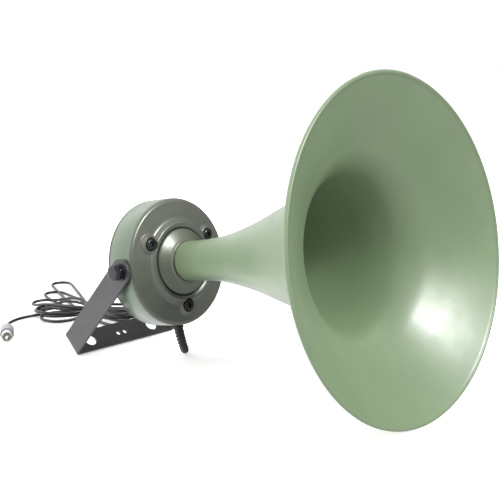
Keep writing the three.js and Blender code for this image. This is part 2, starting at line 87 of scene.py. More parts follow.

# ---- from local millimetres to the shared frame ----
SCALE = Matrix.Scale(MM, 4)
HORN_RISE = math.atan2(HORN_AXIS.z, -HORN_AXIS.y)
HORN = Matrix.Translation(PIVOT) @ Matrix.Rotation(-HORN_RISE, 4, "X") @ SCALE
SPUN = HORN @ Matrix.Translation((0, -PIVOT_AXIAL, 0))
BRACKET = Matrix.Translation(PIVOT) @ Matrix.Rotation(math.radians(90 - ARM_LEAN), 4, "X") @ SCALE
ON_FOOT = Matrix.Translation(FOOT) @ SCALE


# ---- camera: fitted to the photo with the horn's axis at FITTED_RISE, then turned with the horn ----
CAMERA_FROM_MOUTH = (-0.6601, -0.4488, 0.1523)
CAMERA_HEADING = 47.04  # degrees from +Y towards +X
CAMERA_DIP = 10.95
FITTED_RISE = 9.995
LENS = 74.5
SENSOR = 36


def make_camera():
    mouth = PIVOT + HORN_AXIS * PIVOT_AXIAL * MM
    camera = bpy.data.objects.new("camera", bpy.data.cameras.new("camera"))
    camera.data.lens = LENS
    camera.data.sensor_width = SENSOR
    camera.data.clip_start = 0.01
    camera.data.clip_end = 50
    turn = Matrix.Rotation(math.radians(FITTED_RISE) - HORN_RISE, 4, "X")
    aim = Euler((math.radians(90 - CAMERA_DIP), 0, math.radians(-CAMERA_HEADING))).to_matrix().to_4x4()
    camera.matrix_world = Matrix.Translation(mouth) @ turn @ Matrix.Translation(CAMERA_FROM_MOUTH) @ aim
    bpy.context.scene.collection.objects.link(camera)
    bpy.context.scene.camera = camera


make_camera()


# ---- materials ----
def linear(red, green, blue):
    """An sRGB colour, 0 to 255, as linear RGBA."""
    def one(value):
        value /= 255
        return value / 12.92 if value <= 0.04045 else ((value + 0.055) / 1.055) ** 2.4

    return (one(red), one(green), one(blue), 1)


def noise(tree, coords, scale, detail=3.0):
    node = tree.nodes.new("ShaderNodeTexNoise")
    node.inputs["Scale"].default_value = scale
    node.inputs["Detail"].default_value = detail
    tree.links.new(coords, node.inputs["Vector"])
    return node.outputs["Fac"]


def ranged(tree, value, low, high):
    node = tree.nodes.new("ShaderNodeMapRange")
    node.inputs["From Min"].default_value = 0.3
    node.inputs["From Max"].default_value = 0.7
    node.inputs["To Min"].default_value = low
    node.inputs["To Max"].default_value = high
    tree.links.new(value, node.inputs["Value"])
    return node.outputs["Result"]


def mixed(tree, factor, first, second):
    node = tree.nodes.new("ShaderNodeMix")
    node.data_type = "RGBA"
    for socket, value in ((node.inputs[6], first), (node.inputs[7], second)):
        if isinstance(value, tuple):
            socket.default_value = value
        else:
            tree.links.new(value, socket)
    tree.links.new(factor, node.inputs[0])
    return node.outputs[2]


def rise_along(tree, vector, axis, low, high, full=1.0):
    """Rises smoothly from 0 to full as the vector's part along the axis goes from low to high."""
    dot = tree.nodes.new("ShaderNodeVectorMath")
    dot.operation = "DOT_PRODUCT"
    dot.inputs[1].default_value = axis
    tree.links.new(vector, dot.inputs[0])
    rise = tree.nodes.new("ShaderNodeMapRange")
    rise.interpolation_type = "SMOOTHSTEP"
    rise.inputs["From Min"].default_value = low
    rise.inputs["From Max"].default_value = high
    rise.inputs["To Max"].default_value = full
    tree.links.new(dot.outputs["Value"], rise.inputs["Value"])
    return rise.outputs["Result"]


def surface(name, light, dark, rough, metallic=0.0, cloud=14.0, grain=900.0, grain_depth=0.00004,
            coat=0.0, coat_rough=0.2, stretch=(1, 1, 1), front=None):
    """Colour drifts between two shades in clouds, and a fine grain bumps and roughens the surface.

    front is a painted shade on the can's face, ahead of its rounded edge. It is a greyer colour that stands
    in for the dull reflection the face shows where it is turned from the light.
    """
    material = bpy.data.materials.new(name)
    material.use_nodes = True
    tree = material.node_tree
    shader = tree.nodes["Principled BSDF"]
    shader.inputs["Metallic"].default_value = metallic
    shader.inputs["Coat Weight"].default_value = coat
    shader.inputs["Coat Roughness"].default_value = coat_rough
    shader.inputs["IOR"].default_value = 1.5
    mapping = tree.nodes.new("ShaderNodeMapping")
    mapping.inputs["Scale"].default_value = stretch
    tree.links.new(tree.nodes.new("ShaderNodeTexCoord").outputs["Object"], mapping.inputs["Vector"])
    coords = mapping.outputs["Vector"]
    drift = ranged(tree, noise(tree, coords, cloud), 0.0, 1.0)
    colour = mixed(tree, drift, light, dark)
    # painted shade: the can's face ahead of its rounded edge is coloured greyer, in place of the dull
    # reflection it shows where it is turned from the light
    if front:
        place = tree.nodes.new("ShaderNodeTexCoord").outputs["Object"]
        start, full = (PIVOT.dot(HORN_AXIS) + ahead for ahead in FRONT_PAINTED_SHADE)
        colour = mixed(tree, rise_along(tree, place, HORN_AXIS, start, full), colour, front)
    tree.links.new(colour, shader.inputs["Base Color"])
    fine = noise(tree, coords, grain, 2.0)
    tree.links.new(ranged(tree, noise(tree, coords, cloud * 5), rough - 0.04, rough + 0.05),
                   shader.inputs["Roughness"])
    bump = tree.nodes.new("ShaderNodeBump")
    bump.inputs["Strength"].default_value = 0.5
    bump.inputs["Distance"].default_value = grain_depth
    tree.links.new(fine, bump.inputs["Height"])
    tree.links.new(bump.outputs["Normal"], shader.inputs["Normal"])
    return material


PAINT = surface("horn_paint", linear(112, 131, 100), linear(105, 124, 95), 0.38,
                grain=700, grain_depth=0.00005, coat=0.35, coat_rough=0.28)
# The case's front colour is painted shade on the face, not a second paint: the face has the same green paint
# as the side.
CASE_PAINT = surface("case_paint", linear(88, 106, 84), linear(81, 98, 77), 0.36, metallic=0.3,
                     grain=800, grain_depth=0.00006, coat=0.3, coat_rough=0.2, front=linear(92, 95, 87))
FLANGE_PAINT = surface("flange_paint", linear(96, 102, 90), linear(87, 93, 81), 0.38, metallic=0.4,
                       grain=800, grain_depth=0.00006, coat=0.3, coat_rough=0.2)
BLACK_STEEL = surface("black_steel", linear(66, 66, 70), linear(48, 48, 51), 0.2, metallic=0.8,
                      grain=1500, grain_depth=0.00002)
BRACKET_PAINT = surface("bracket_paint", linear(60, 59, 62), linear(51, 50, 53), 0.42, cloud=30,
                        grain=1400, grain_depth=0.00008)
RUBBER = surface("rubber", linear(30, 30, 31), linear(22, 22, 23), 0.6, grain=1800, grain_depth=0.00006)
CORD_JACKET = surface("cord_jacket", linear(22, 23, 21), linear(15, 16, 14), 0.42, grain=1200,
                      grain_depth=0.00004)
TIE_NYLON = surface("tie_nylon", linear(26, 26, 27), linear(18, 18, 19), 0.42, grain=1500)
PLUG_BODY = surface("plug_body", linear(150, 150, 154), linear(132, 132, 137), 0.45, grain=1500,
                    grain_depth=0.00005)
NICKEL = surface("nickel", linear(240, 239, 235), linear(226, 225, 221), 0.24, metallic=0.7, grain=1500,
                 grain_depth=0.00001)
INSULATOR = surface("insulator", linear(232, 228, 218), linear(218, 213, 202), 0.4)
ALLOY = surface("throat_alloy", linear(190, 190, 192), linear(170, 170, 172), 0.35, metallic=1.0)
STEEL = surface("pole_steel", linear(176, 176, 172), linear(150, 150, 147), 0.38, metallic=1.0)
FERRITE = surface("ferrite", linear(52, 52, 54), linear(40, 40, 42), 0.7, grain=2000, grain_depth=0.0001)
PHENOLIC = surface("phenolic", linear(160, 112, 62), linear(140, 94, 50), 0.5, grain=2500)
CLOTH = surface("surround_cloth", linear(140, 100, 62), linear(118, 82, 50), 0.85, grain=3000,
                grain_depth=0.0001)
COPPER = surface("copper", linear(200, 120, 72), linear(178, 100, 58), 0.3, metallic=1.0,
                 stretch=(1, 12, 1))
BOARD = surface("terminal_board", linear(166, 128, 72), linear(146, 108, 58), 0.5)
BRASS = surface("brass", linear(196, 164, 92), linear(176, 144, 76), 0.3, metallic=1.0)
RED_WIRE = surface("red_wire", linear(166, 30, 28), linear(148, 24, 22), 0.4)
BLACK_PLASTIC = surface("black_plastic", linear(40, 40, 42), linear(30, 30, 32), 0.5)


# ---- mesh helpers ----
SHARP = math.radians(32)


def shaded(mesh, sharp=SHARP):
    mesh.shade_smooth()
    mesh.set_sharp_from_angle(angle=sharp)


def piece(name, verts, faces, place, material, body, slot, stands_for=(), sharp=SHARP):
    """A mesh given in local millimetres, smooth but for its sharp edges, riding on a body."""
    bm = bmesh.new()
    made = [bm.verts.new(place @ Vector(v)) for v in verts]
    for face in faces:
        bm.faces.new([made[i] for i in face])
    bmesh.ops.recalc_face_normals(bm, faces=bm.faces)
    mesh = bpy.data.meshes.new(name)
    bm.to_mesh(mesh)
    bm.free()
    shaded(mesh, sharp)
    mesh.materials.append(material)
    obj = bpy.data.objects.new(name, mesh)
    bpy.context.scene.collection.objects.link(obj)
    if body:
        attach(obj, body)
    if stands_for:
        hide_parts(*stands_for)
    return obj


def merged(*parts):
    """Several (verts, faces) as one."""
    verts, faces = [], []
    for more_verts, more_faces in parts:
        base = len(verts)
        verts.extend(more_verts)
        faces.extend(tuple(base + i for i in face) for face in more_faces)
    return verts, faces


def moved(part, matrix):
    return [tuple(matrix @ Vector(v)) for v in part[0]], part[1]


def flat_faces_even(obj):
    """Keeps the shading of large flat faces flat up to their eased edges."""
    modifier = obj.modifiers.new("even_normals", "WEIGHTED_NORMAL")
    modifier.keep_sharp = True


def drill(obj, cutters):
    """Cuts the holes out of the mesh for good."""
    for cutter in cutters:
        hole = obj.modifiers.new("hole", "BOOLEAN")
        hole.object = cutter
    bpy.context.view_layer.update()
    whole = obj.evaluated_get(bpy.context.evaluated_depsgraph_get())
    mesh = bpy.data.meshes.new_from_object(whole)
    obj.modifiers.clear()
    obj.data = mesh
    shaded(mesh)
    for cutter in cutters:
        bpy.data.objects.remove(cutter)


def rounded(points, radius, steps=3, closed=False):
    """The outline with its corners eased by short curves."""
    result = []
    count = len(points)
    for i, corner in enumerate(points):
        if not closed and i in (0, count - 1):
            result.append(tuple(corner))
            continue
        here = Vector(corner)
        before = Vector(points[i - 1]) - here
        after = Vector(points[(i + 1) % count]) - here
        start = here + before.normalized() * min(radius, before.length * 0.45)
        end = here + after.normalized() * min(radius, after.length * 0.45)
        for k in range(steps + 1):
            t = k / steps
            result.append(tuple(start * (1 - t) ** 2 + here * 2 * t * (1 - t) + end * t * t))
    return result


def rings_to_mesh(rings, closed_loop):
    """Faces between rings of equal length. A ring of one point is a pole."""
    verts, starts = [], []
    for ring in rings:
        starts.append(len(verts))
        verts.extend(ring)
    faces = []
    pairs = list(zip(range(len(rings) - 1), range(1, len(rings))))
    if closed_loop:
        pairs.append((len(rings) - 1, 0))
    for i, j in pairs:
        a, b = rings[i], rings[j]
        n = max(len(a), len(b))
        for k in range(n):
            m = (k + 1) % n
            if len(a) == 1:
                faces.append((starts[i], starts[j] + k, starts[j] + m))
            elif len(b) == 1:
                faces.append((starts[i] + k, starts[j], starts[i] + m))
            else:
                faces.append((starts[i] + k, starts[j] + k, starts[j] + m, starts[i] + m))
    return verts, faces


def spun_rings(profile, segments=96, reshape=None):
    """Rings about the local Y axis. reshape(radius, along, angle) may move each point."""
    rings = []
    for radius, along in profile:
        if radius == 0:
            rings.append([(0, along, 0)])
            continue
        ring = []
        for k in range(segments):
            angle = 2 * math.pi * k / segments
            r, y = reshape(radius, along, angle) if reshape else (radius, along)
            ring.append((r * math.cos(angle), y, r * math.sin(angle)))
        rings.append(ring)
    return rings


def turned(profile, segments=96, reshape=None):
    return rings_to_mesh(spun_rings(profile, segments, reshape), profile[0][0] > 0)


def spun(name, profile, material, slot, stands_for, body="horn", segments=96, place=SPUN, reshape=None):
    verts, faces = turned(profile, segments, reshape)
    return piece(name, verts, faces, place, material, body, slot, stands_for)


def arc(cx, cy, radius, start, end, steps):
    result = []
    for k in range(steps + 1):
        angle = math.radians(start + (end - start) * k / steps)
        result.append((cx + radius * math.cos(angle), cy + radius * math.sin(angle)))
    return result


def curve_through(points, steps):
    """Centripetal Catmull-Rom curve through the points, with a number of steps between each two."""
    p = [Vector(q) for q in points]
    p = [p[0] * 2 - p[1], *p, p[-1] * 2 - p[-2]]

    def between(a, b, ta, tb, t):
        return (a * (tb - t) + b * (t - ta)) / (tb - ta)

    result = []
    for p0, p1, p2, p3 in zip(p, p[1:], p[2:], p[3:]):
        t1 = (p1 - p0).length ** 0.5
        t2 = t1 + (p2 - p1).length ** 0.5
        t3 = t2 + (p3 - p2).length ** 0.5
        for k in range(steps):
            t = t1 + (t2 - t1) * k / steps
            a1, a2, a3 = between(p0, p1, 0, t1, t), between(p1, p2, t1, t2, t), between(p2, p3, t2, t3, t)
            b1, b2 = between(a1, a2, 0, t2, t), between(a2, a3, t1, t3, t)
            result.append(between(b1, b2, t1, t2, t))
    result.append(p[-2])
    return result


def tube(centres, radius_at, sides):
    """Rings of a tube along a line, its ends closed. radius_at(share of the length)."""
    rings = []
    normal = None
    last = len(centres) - 1
    for i, centre in enumerate(centres):
        tangent = (centres[min(i + 1, last)] - centres[max(i - 1, 0)]).normalized()
        if normal is None:
            normal = tangent.orthogonal().normalized()
        normal = (normal - tangent * normal.dot(tangent)).normalized()
        across = tangent.cross(normal)
        radius = radius_at(i / last)
        turns = [2 * math.pi * k / sides for k in range(sides)]
        rings.append([tuple(centre + (normal * math.cos(t) + across * math.sin(t)) * radius) for t in turns])
    return [[tuple(centres[0])], *rings, [tuple(centres[-1])]]


def spaced(points, step):
    """Points along the line, about a step apart."""
    result = [points[0]]
    left = step
    for a, b in zip(points, points[1:]):
        long = (b - a).length
        while left < long:
            result.append(a.lerp(b, left / long))
            left += step
        left -= long
    if (result[-1] - points[-1]).length < step / 2:
        result.pop()
    return [*result, points[-1]]


def smoothstep(value, low, high):
    t = min(max((value - low) / (high - low), 0.0), 1.0)
    return t * t * (3 - 2 * t)


def hex_reach(corner, angle):
    """How far a hexagon with that corner radius reaches at an angle."""
    sixth = math.pi / 3
    return corner * math.cos(sixth / 2) / math.cos(angle % sixth - sixth / 2)


# ---- the cord: boot, under the case, round the bracket, into the tied hank, out to the plug ----
CORD_D = 3.4
LYING = 1.8  # height of a cord's middle on the table
LEAD_ROUTE = [
    (13.1, -2.1, 3.9), (16.6, 1.5, 3.3), (21.2, 6.6, 2.4), (27.6, 13.6, LYING), (36, 23, LYING),
    (45, 33.6, LYING), (54.5, 45, LYING), (64, 56.6, LYING), (73.5, 68.4, LYING),
]
RUN_ROUTE = [
    (80.2, 77.4, LYING), (87, 88, LYING), (92, 100, LYING), (93.5, 112, LYING), (91, 124, LYING),
    (85, 135, LYING), (77, 145, LYING), (69, 154, LYING), (61, 162, LYING), (52, 169.5, 1.9), (46, 174, 2),
]
TAIL_ROUTE = [
    (31, 190, 9), (21, 201, 6.5), (11.5, 213, 4.8), (3, 223, 3), (-6, 229.7, 1.9), (-12.8, 230.3, LYING),
    (-20.5, 228.3, 2.2), (-29.5, 224, 2.9), (-37, 218.3, 3.9), (-44.5, 211.4, 5.2), (-51.5, 204.2, 6.4),
    (-57.8, 196.9, 7.3),
]
PLUG_BACK = Vector((-58, 196.6, 7.3))
PLUG_HEADING = Vector((-0.565, -0.825, 0)).normalized()

WAIST = Vector((41, 180))  # middle of the tied bundle
WAIST_HEADING = 120
WAIST_GAP = 3.4
WAIST_ROW = 3.2
WAIST_LOW = 2.65
# Loops of the hank from its waist: heading in degrees, length, half width, radius of the end, level in the
# pile, and for some the stretch in which it comes down, with the level it comes down to.
LEFT_LOOPS = [
    (63.3, 190, 12.5, 11.5, 0, None), (73.5, 134, 17, 11.5, 0.4, (60, 90, 0)), (138, 54, 22, 22, 0.2, None),
    (129, 58, 20, 20, 0.9, None), (118, 64, 20, 18, 1.7, None), (109, 74, 20, 15, 2.4, (44, 72, 0)),
    (92, 94, 22, 15, 3.1, (46, 84, 1)),
]
RIGHT_LOOPS = [
    (-88, 58, 14, 14, 0, None), (-77, 60, 14, 14, 0.7, None), (-66, 56, 15, 15, 1.4, None),
    (-56, 52, 15, 15, 2.1, None), (-74, 60, 15, 15, 2.6, None), (-84, 56, 15, 15, 3.1, None),
    (-64, 52, 14, 14, 3.5, None),
]


def heading(degrees):
    return Vector((math.cos(math.radians(degrees)), math.sin(math.radians(degrees))))


def crossing(number):
    """Where the cord passes the waist for that time: four abreast, row on row."""
    beside = heading(WAIST_HEADING - 90) * (number % 4 - 1.5) * WAIST_GAP
    return WAIST + beside, WAIST_LOW + WAIST_ROW * (number // 4)


def through_waist(number, towards):
    """Two points along the waist, the second further towards the left loops (1) or the right ones (-1)."""
    middle, height = crossing(number)
    step = heading(WAIST_HEADING) * 4 * towards
    return [(*(middle - step), height), (*(middle + step), height)]


def loop(number, shape, hand):
    """One loop of the hank, from that crossing to the next: two flanks and a round end."""
    degrees, length, width, end_radius, level, down = shape
    out = heading(degrees)
    across = Vector((-out.y, out.x)) * hand
    (start, low), (end, high) = crossing(number), crossing(number + 1)
    turn_at = length - end_radius
    flank = []
    for share in (0.3, 0.55, 0.8):
        beside = end_radius * share ** 0.5 + (width - end_radius) * math.sin(math.pi * share)
        flank.append((turn_at * share, beside))
    outline = [*flank, *arc(turn_at, 0, end_radius, 90, -90, 8), *[(x, -y) for x, y in reversed(flank)]]
    points = []
    for k, (along, beside) in enumerate(outline):
        t = (k + 1) / (len(outline) + 1)
        offset = out * along + across * beside
        height = low + (high - low) * t
        height += (LYING + WAIST_GAP * level - height) * min(1, along * 2.5 / length)
        if down:
            height += (LYING + WAIST_GAP * down[2] - height) * smoothstep(along, *down[:2])
        points.append((*(start.lerp(end, t) + offset), height))
    return points


def eased(points, rounds):
    """The line with its bends softened, its ends kept."""
    for _ in range(rounds):
        middle = [(a + b * 2 + c) / 4 for a, b, c in zip(points, points[1:], points[2:])]
        points = [points[0], *middle, points[-1]]
    return points


def cord_route():
    route = [(10.6, -4.4, 4.6), *LEAD_ROUTE, *RUN_ROUTE, *through_waist(0, 1)]
    for k in range(len(LEFT_LOOPS)):
        route += [*loop(2 * k, LEFT_LOOPS[k], 1), *through_waist(2 * k + 1, -1)]
        route += [*loop(2 * k + 1, RIGHT_LOOPS[k], -1), *through_waist(2 * k + 2, 1)]
    route += [*TAIL_ROUTE, tuple(PLUG_BACK + PLUG_HEADING * 4)]
    return eased(spaced(curve_through(route, 5), 2.6), 6)


def make_cord():
    centres = cord_route()
    verts, faces = rings_to_mesh(tube(centres, lambda share: CORD_D / 2, 12), False)
    return piece("cord", verts, faces, ON_FOOT, CORD_JACKET, None, "cord_jacket",
                 ("cord_lead", "cord_run", "cord_hank", "cord_tail")), [ON_FOOT @ c for c in centres]


cord, cord_path = make_cord()
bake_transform(cord)


# ---- the tie round the hank ----
def rounded_box(x0, x1, y0, y1, z0, z1, ease):
    """A box with eased edges, in layers from z0 to z1."""
    def layer(inset, z):
        corners = [(x0 + inset, y0 + inset), (x1 - inset, y0 + inset), (x1 - inset, y1 - inset),
                   (x0 + inset, y1 - inset)]
        return [(x, y, z) for x, y in rounded(corners, ease, 3, True)]

    rings = [[((x0 + x1) / 2, (y0 + y1) / 2, z0)], layer(ease, z0), layer(ease * 0.3, z0 + ease * 0.3),
             layer(0, z0 + ease), layer(0, z1 - ease), layer(ease * 0.3, z1 - ease * 0.3), layer(ease, z1),
             [((x0 + x1) / 2, (y0 + y1) / 2, z1)]]
    return rings_to_mesh(rings, False)


def make_tie():
    width, thick = 3.4, 0.8
    half_x, low, high = 7.6, 0.1, 14.9
    corners = [(-half_x, low), (half_x, low), (half_x, high), (-half_x, high)]
    outer = rounded(corners, 4.5, 8, True)
    centre = Vector((0, (low + high) / 2))
    rings = []
    for point in outer:
        inward = (centre - Vector(point)).normalized() * thick
        x, z = point
        rings.append([(x, -width / 2, z), (x, width / 2, z), (x + inward.x, width / 2, z + inward.y),
                      (x + inward.x, -width / 2, z + inward.y)])
    band = rings_to_mesh(rings, True)
    head = rounded_box(0.5, 5.5, -2.2, 2.2, 14.7, 17.4, 0.5)
    end = rounded_box(-1.8, 0.9, -1.5, 1.5, 15.5, 16.4, 0.3)
    turn = Matrix.Rotation(math.radians(WAIST_HEADING - 90), 4, "Z")
    place = ON_FOOT @ Matrix.Translation((*WAIST, 0)) @ turn
    verts, faces = merged(band, head, end)
    return piece("tie", verts, faces, place, TIE_NYLON, "bracket", "plug_black", ("cable_tie",))


tie = make_tie()


# ---- the plug ----
PLUG = ON_FOOT @ Matrix.Translation(PLUG_BACK) @ Matrix.Rotation(
    math.atan2(-PLUG_HEADING.x, PLUG_HEADING.y), 4, "Z")


def plug_part(name, stands_for, profile, material, slot, segments=48, reshape=None):
    return spun(name, profile, material, slot, (stands_for,), "bracket", segments, PLUG, reshape)


def ribbed_relief():
    """The tapered back of the plug, with its rings."""
    points = []
    for k in range(33):
        along = 0.9 + 9.4 * k / 32
        points.append((2.4 + 0.165 * (along - 0.9) + 0.28 * math.sin(k * math.pi / 4), along))
    return points


def grip(radius, along, angle):
    deep = 0.3 * smoothstep(along, 20.5, 22) * (1 - smoothstep(along, 32, 33.5))
    return (radius - deep * (0.5 + 0.5 * math.cos(12 * angle)) if radius > 7 else radius), along


plug_pieces = [
    plug_part("plug_shell", "plug_body", [
        (0, 0.4), (1.9, 0.4), (2.2, 0.5), *ribbed_relief(), (4.3, 11), (5.1, 12.6), (5.9, 14.3), (6.6, 16.6),
        (7, 18.8), *[(7.1, 19.8 + 0.6 * k) for k in range(26)], (7.1, 35.5), (7, 36.3), (6.6, 36.9),
        (6.1, 36.9), (5.9, 36.7), (5.9, 34), (0, 34),
    ], PLUG_BODY, "plug_grey", reshape=grip),
    plug_part("plug_ring", "plug_sleeve", rounded([
        (4.6, 34.4), (5.5, 34.4), (5.5, 43.8), (5.25, 44.1), (5.25, 44.7), (5.5, 45), (5.5, 47.1),
        (4.6, 47.1),
    ], 0.25, 3, True), NICKEL, "plug_nickel"),
    plug_part("plug_spacer", "plug_insulator", rounded([
        (1.9, 34.4), (4.2, 34.4), (4.2, 39.6), (1.9, 39.6),
    ], 0.2, 2, True), INSULATOR, "plug_white"),
    plug_part("plug_tip", "plug_pin", [
        (0, 34.4), (1.6, 34.4), (1.6, 48.3), (1.35, 48.7), (1.35, 49.3), (1.6, 49.9), (1.5, 51.1),
        (1.1, 52.2), (0.5, 52.8), (0, 52.9),
    ], NICKEL, "plug_nickel", 32),
]


# ---- the boot ----
def make_boot():
    centres = spaced(curve_through([
        (0, -5.4, 38.7), (0, -6.3, 32.7), (0.3, -8.2, 25), (1.4, -9.9, 16.8), (4, -9.8, 10), (8, -6.9, 5.8),
        (12.8, -2.4, 3.95),
    ], 12), 0.35)
    taper = [3.6, 4.3, 4.3, 4.0, 3.7, 3.4, 3.1]

    def radius(share):
        at = share * (len(taper) - 1)
        k = min(int(at), len(taper) - 2)
        plain = taper[k] + (taper[k + 1] - taper[k]) * (at - k)
        collar = 0.8 * smoothstep(share, 0.14, 0.16) * (1 - smoothstep(share, 0.22, 0.24))
        ribs = 0.45 * math.sin(share * 2 * math.pi * 13) * smoothstep(share, 0.3, 0.34)
        return plain + collar + ribs * (1 - smoothstep(share, 0.93, 0.97))

    verts, faces = rings_to_mesh(tube(centres, radius, 28), False)
    return piece("boot", verts, faces, ON_FOOT, RUBBER, "horn", "rubber_boot", ("cable_boot",))


make_boot()


# ---- the horn's bell ----
# The outer line, as (distance behind the mouth plane, radius).
BELL_STATIONS = [
    (1.9, 137), (10, 122.7), (20, 106.2), (30, 91.2), (40, 77.5), (52, 67), (70, 58.3), (95, 49.8),
    (120, 41.8), (150, 32), (180, 24.5), (205, 20.3), (225, 19), (247.4, 18.8),
]


def bell_profile():
    outer = curve_through(BELL_STATIONS, 8)
    inner = []
    for before, here, after in zip([outer[0], *outer], outer, [*outer[1:], outer[-1]]):
        along, radial = (after - before).normalized()
        inner.append((here.y - BELL_WALL * abs(along), here.x - BELL_WALL * abs(radial)))
    inner[-1] = (inner[-1][0], outer[-1].x)
    bead = arc(MOUTH_R - RIM_BEAD_R, RIM_BEAD_R, RIM_BEAD_R, -150, 152, 26)
    return [*inner[:0:-1], *bead, *[(p.y, p.x) for p in outer[1:]]]


spun("bell", bell_profile(), PAINT, "horn_paint", ("horn_bell",), segments=192)

spun("flange", rounded([
    (14.2, 240), (17, 240), (17, 247.9), (19.6, 247.9), (20.9, 248.3), (21.6, 249.9), (25.5, 252.1),
    (30.6, 254.6), (31.5, 255.8), (31.5, 258.6), (14.2, 258.6),
], 0.4, 4, True), FLANGE_PAINT, "flange_paint", ("throat_flange",), segments=128)


# ---- the driver's case ----
EAR_R = 8
POCKET_R = 6.1
EAR_FRONT = 256.6
POCKET_FLOOR = 257.9
RING_INNER_R = 31.9
CROWN_R = 7.1  # middle of the slight crown between the ear's edge and its pocket
CROWN_HALF = 1.1
CROWN_RISE = 0.25
CASE_SEGMENTS = 480
CASE_SHARP = math.radians(60)
# The case's inside wall, which the ears leave alone.
CASE_INSIDE = [
    (CASE_R - CASE_WALL, CASE_FRONT + CASE_FILLET), (CASE_R - CASE_FILLET, CASE_FRONT + CASE_WALL),
    (41.5, 261.1), (38.6, 260.4), (36.6, 258.6), (34.6, 259.2), (RING_INNER_R, 260),
]
ear_centres = [(SCREW_CIRCLE_R * math.cos(math.radians(t)), SCREW_CIRCLE_R * math.sin(math.radians(t)))
               for t in SCREW_ANGLES]


def with_ears(radius, along, angle):
    """Presses an ear and its pocket round each face screw into the front of the case."""
    if along > CASE_FRONT or radius < RING_INNER_R or (radius, along) in CASE_INSIDE:
        return radius, along
    x, z = radius * math.cos(angle), radius * math.sin(angle)
    away = min(math.hypot(x - ex, z - ez) for ex, ez in ear_centres)
    slope = smoothstep(away, EAR_R - 1.4, EAR_R + 2)
    front = min(along, EAR_FRONT + (along - EAR_FRONT) * slope)
    crown = CROWN_RISE * max(0, 1 - ((away - CROWN_R) / CROWN_HALF) ** 2)
    pocket = 1 - smoothstep(away, POCKET_R - 0.3, POCKET_R + 0.7)
    return radius, (front - crown) + (POCKET_FLOOR - front + crown) * pocket


def case_profile():
    fillet = arc(CASE_R - CASE_FILLET, CASE_FRONT + CASE_FILLET, CASE_FILLET, 0, -90, 12)
    face = curve_through([
        (CASE_R - CASE_FILLET, CASE_FRONT), (53, 260.9), (47, 260.1), (41.5, 259.3), (39.6, 258.2),
        (38.2, 255.8), (37.2, 254.8), (36.2, 254.5), (35.2, 254.7), (34, 255.2), (32.7, 256), (31.95, 257.2),
    ], 12)
    face = [tuple(p) for p in spaced(face, 0.4)]
    back = [(CASE_R, 290.2), (CASE_R - 0.3, 290.8), (CASE_R - 0.8, CASE_BACK),
            (CASE_R - CASE_WALL, CASE_BACK)]
    return [*reversed(back), *fillet, *face[1:], *reversed(CASE_INSIDE)]


def side_pad(side):
    profile = rounded([(4.4, 57), (9, 57), (9, 61.2), (4.4, 61.2)], 0.4, 3, True)
    turn = Matrix.Translation((0, PIVOT_AXIAL, 0)) @ Matrix.Rotation(math.radians(-90 * side), 4, "Z")
    return moved(turned(profile, 64), turn)


def make_case():
    can = turned(case_profile(), CASE_SEGMENTS, with_ears)
    verts, faces = merged(can, side_pad(-1), side_pad(1))
    return piece("case", verts, faces, SPUN, CASE_PAINT, "horn", "case_paint", ("driver_case",), CASE_SHARP)


make_case()
spun("cover_gasket", rounded([(44, 290.4), (49.6, 290.4), (49.6, 291.1), (44, 291.1)], 0.2, 2, True), RUBBER,
     "rubber_gasket", ("rear_gasket",), segments=128)
spun("cover", [(0, 297.6), *reversed(rounded([
    (60.8, 291.3), (60.8, 292.4), (59.8, 293.3), (57, 293.9), (51.2, 294.3), (50, 295.1), (43, 295.8),
    (41.5, 295.2), (39.4, 295.3), (38, 296.3), (20, 297.3), (8, 297.55), (0.5, 297.6),
], 0.8, 4)), (49, 291.3), (40, 293.6), (20, 295.4), (0, 295.8)], CASE_PAINT, "case_paint", ("rear_cover",),
     segments=192)


# ---- screws and pivots ----
def screw(name, radius, degrees, seat, head_r, head_h, shank_r, length, front):
    """Pan head with a hexagonal socket. front is 1 for a head at the front, -1 for one at the back."""
    top = seat - front * head_h
    floor = seat - front * head_h * 0.4
    socket = head_r * 0.42
    rings = [
        (0, floor), (socket, floor), (socket, top + front * 0.25), (socket * 1.12, top + front * 0.02),
        (head_r * 0.62, top), (head_r * 0.74, top + front * head_h * 0.05),
        (head_r * 0.86, top + front * head_h * 0.16), (head_r * 0.95, top + front * head_h * 0.36),
        (head_r, top + front * head_h * 0.62), (head_r, seat - front * 0.2), (head_r - 0.2, seat),
        (shank_r, seat), (shank_r, seat + front * (length - 0.4)), (shank_r - 0.4, seat + front * length),
        (0, seat + front * length),
    ]

    def hexed(r, along, angle):
        return (hex_reach(r, angle) if r in (socket, socket * 1.12) else r), along

    spot = Vector((radius * math.cos(math.radians(degrees)), 0, radius * math.sin(math.radians(degrees))))
    verts, faces = turned(rings, 48, hexed)
    return piece(f"{name}_head", verts, faces, SPUN @ Matrix.Translation(spot), BLACK_STEEL, "horn",
                 "black_steel", (name,))


for i, degrees in enumerate(SCREW_ANGLES):
    screw(f"front_screw_{i + 1}", SCREW_CIRCLE_R, degrees, 257.6, 5.6, 3, 2.9, 9.4, 1)
for i, degrees in enumerate(REAR_SCREW_ANGLES):
    screw(f"rear_screw_{i + 1}", REAR_SCREW_CIRCLE_R, degrees, 294.9, 3.6, 2.2, 1.5, 9, -1)


def ring_profile(inner, outer, start, end, ease):
    return rounded([(inner, start), (outer, start), (outer, end), (inner, end)], ease, 3, True)


def spring_washer(start, end):
    """One turn of square wire with a slanting gap, its ends a little apart."""
    inner, outer, low, high = 4.4, 6.9, start + 0.1, end - 0.1
    section = rounded([(inner, low), (outer, low), (outer, high), (inner, high)], 0.25, 2, True)
    rings = []
    for k in range(61):
        angle = math.radians(98 + 344 * k / 60)
        rise = 0.12 * (k / 60 - 0.5)
        rings.append([(r * math.cos(angle), along + rise, r * math.sin(angle)) for r, along in section])
    ends = [[tuple(sum((Vector(v) for v in ring), Vector()) / len(ring))] for ring in (rings[0], rings[-1])]
    return rings_to_mesh([ends[0], *rings, ends[1]], False)


